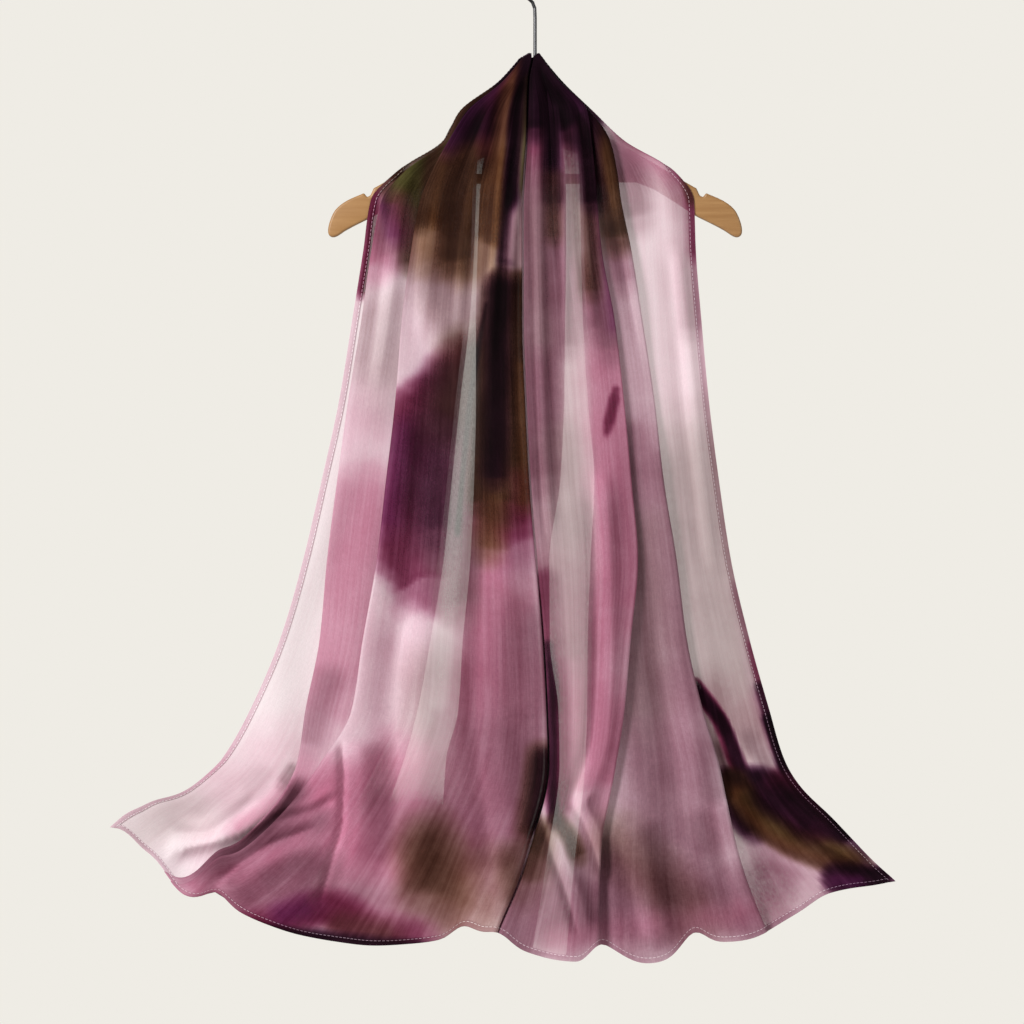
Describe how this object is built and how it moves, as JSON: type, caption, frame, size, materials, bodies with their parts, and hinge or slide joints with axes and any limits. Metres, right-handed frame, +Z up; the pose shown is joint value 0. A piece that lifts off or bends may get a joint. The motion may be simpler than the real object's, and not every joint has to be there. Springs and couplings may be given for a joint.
{
  "type": "cotton scarf on coat hanger",
  "caption": "Long sheer cotton scarf draped over a wooden coat hanger, pleated halves hanging to a scalloped hem that sweeps forward.",
  "frame": {"origin": "inner top of the hook, where the hanger hangs on a rod", "axes": "+Z up, -Y towards the front that shows both halves of the scarf, +X to the right seen from the front"},
  "size_m": [0.8363, 0.1744, 1.0773],
  "materials": {
    "cotton_voile": "fine semi-sheer voile with a soft washed print in mauve, plum and brown",
    "lacquered_wood": "smooth clear satin lacquer",
    "steel_wire": "satin drawn wire"
  },
  "bodies": {
    "root": {"scarf_left_front": "cotton_voile", "scarf_right_front": "cotton_voile", "scarf_back_neck": "cotton_voile", "hanger_arms": "lacquered_wood", "hanger_bar": "lacquered_wood", "hanger_hook": "steel_wire"}
  },
  "joints": []
}
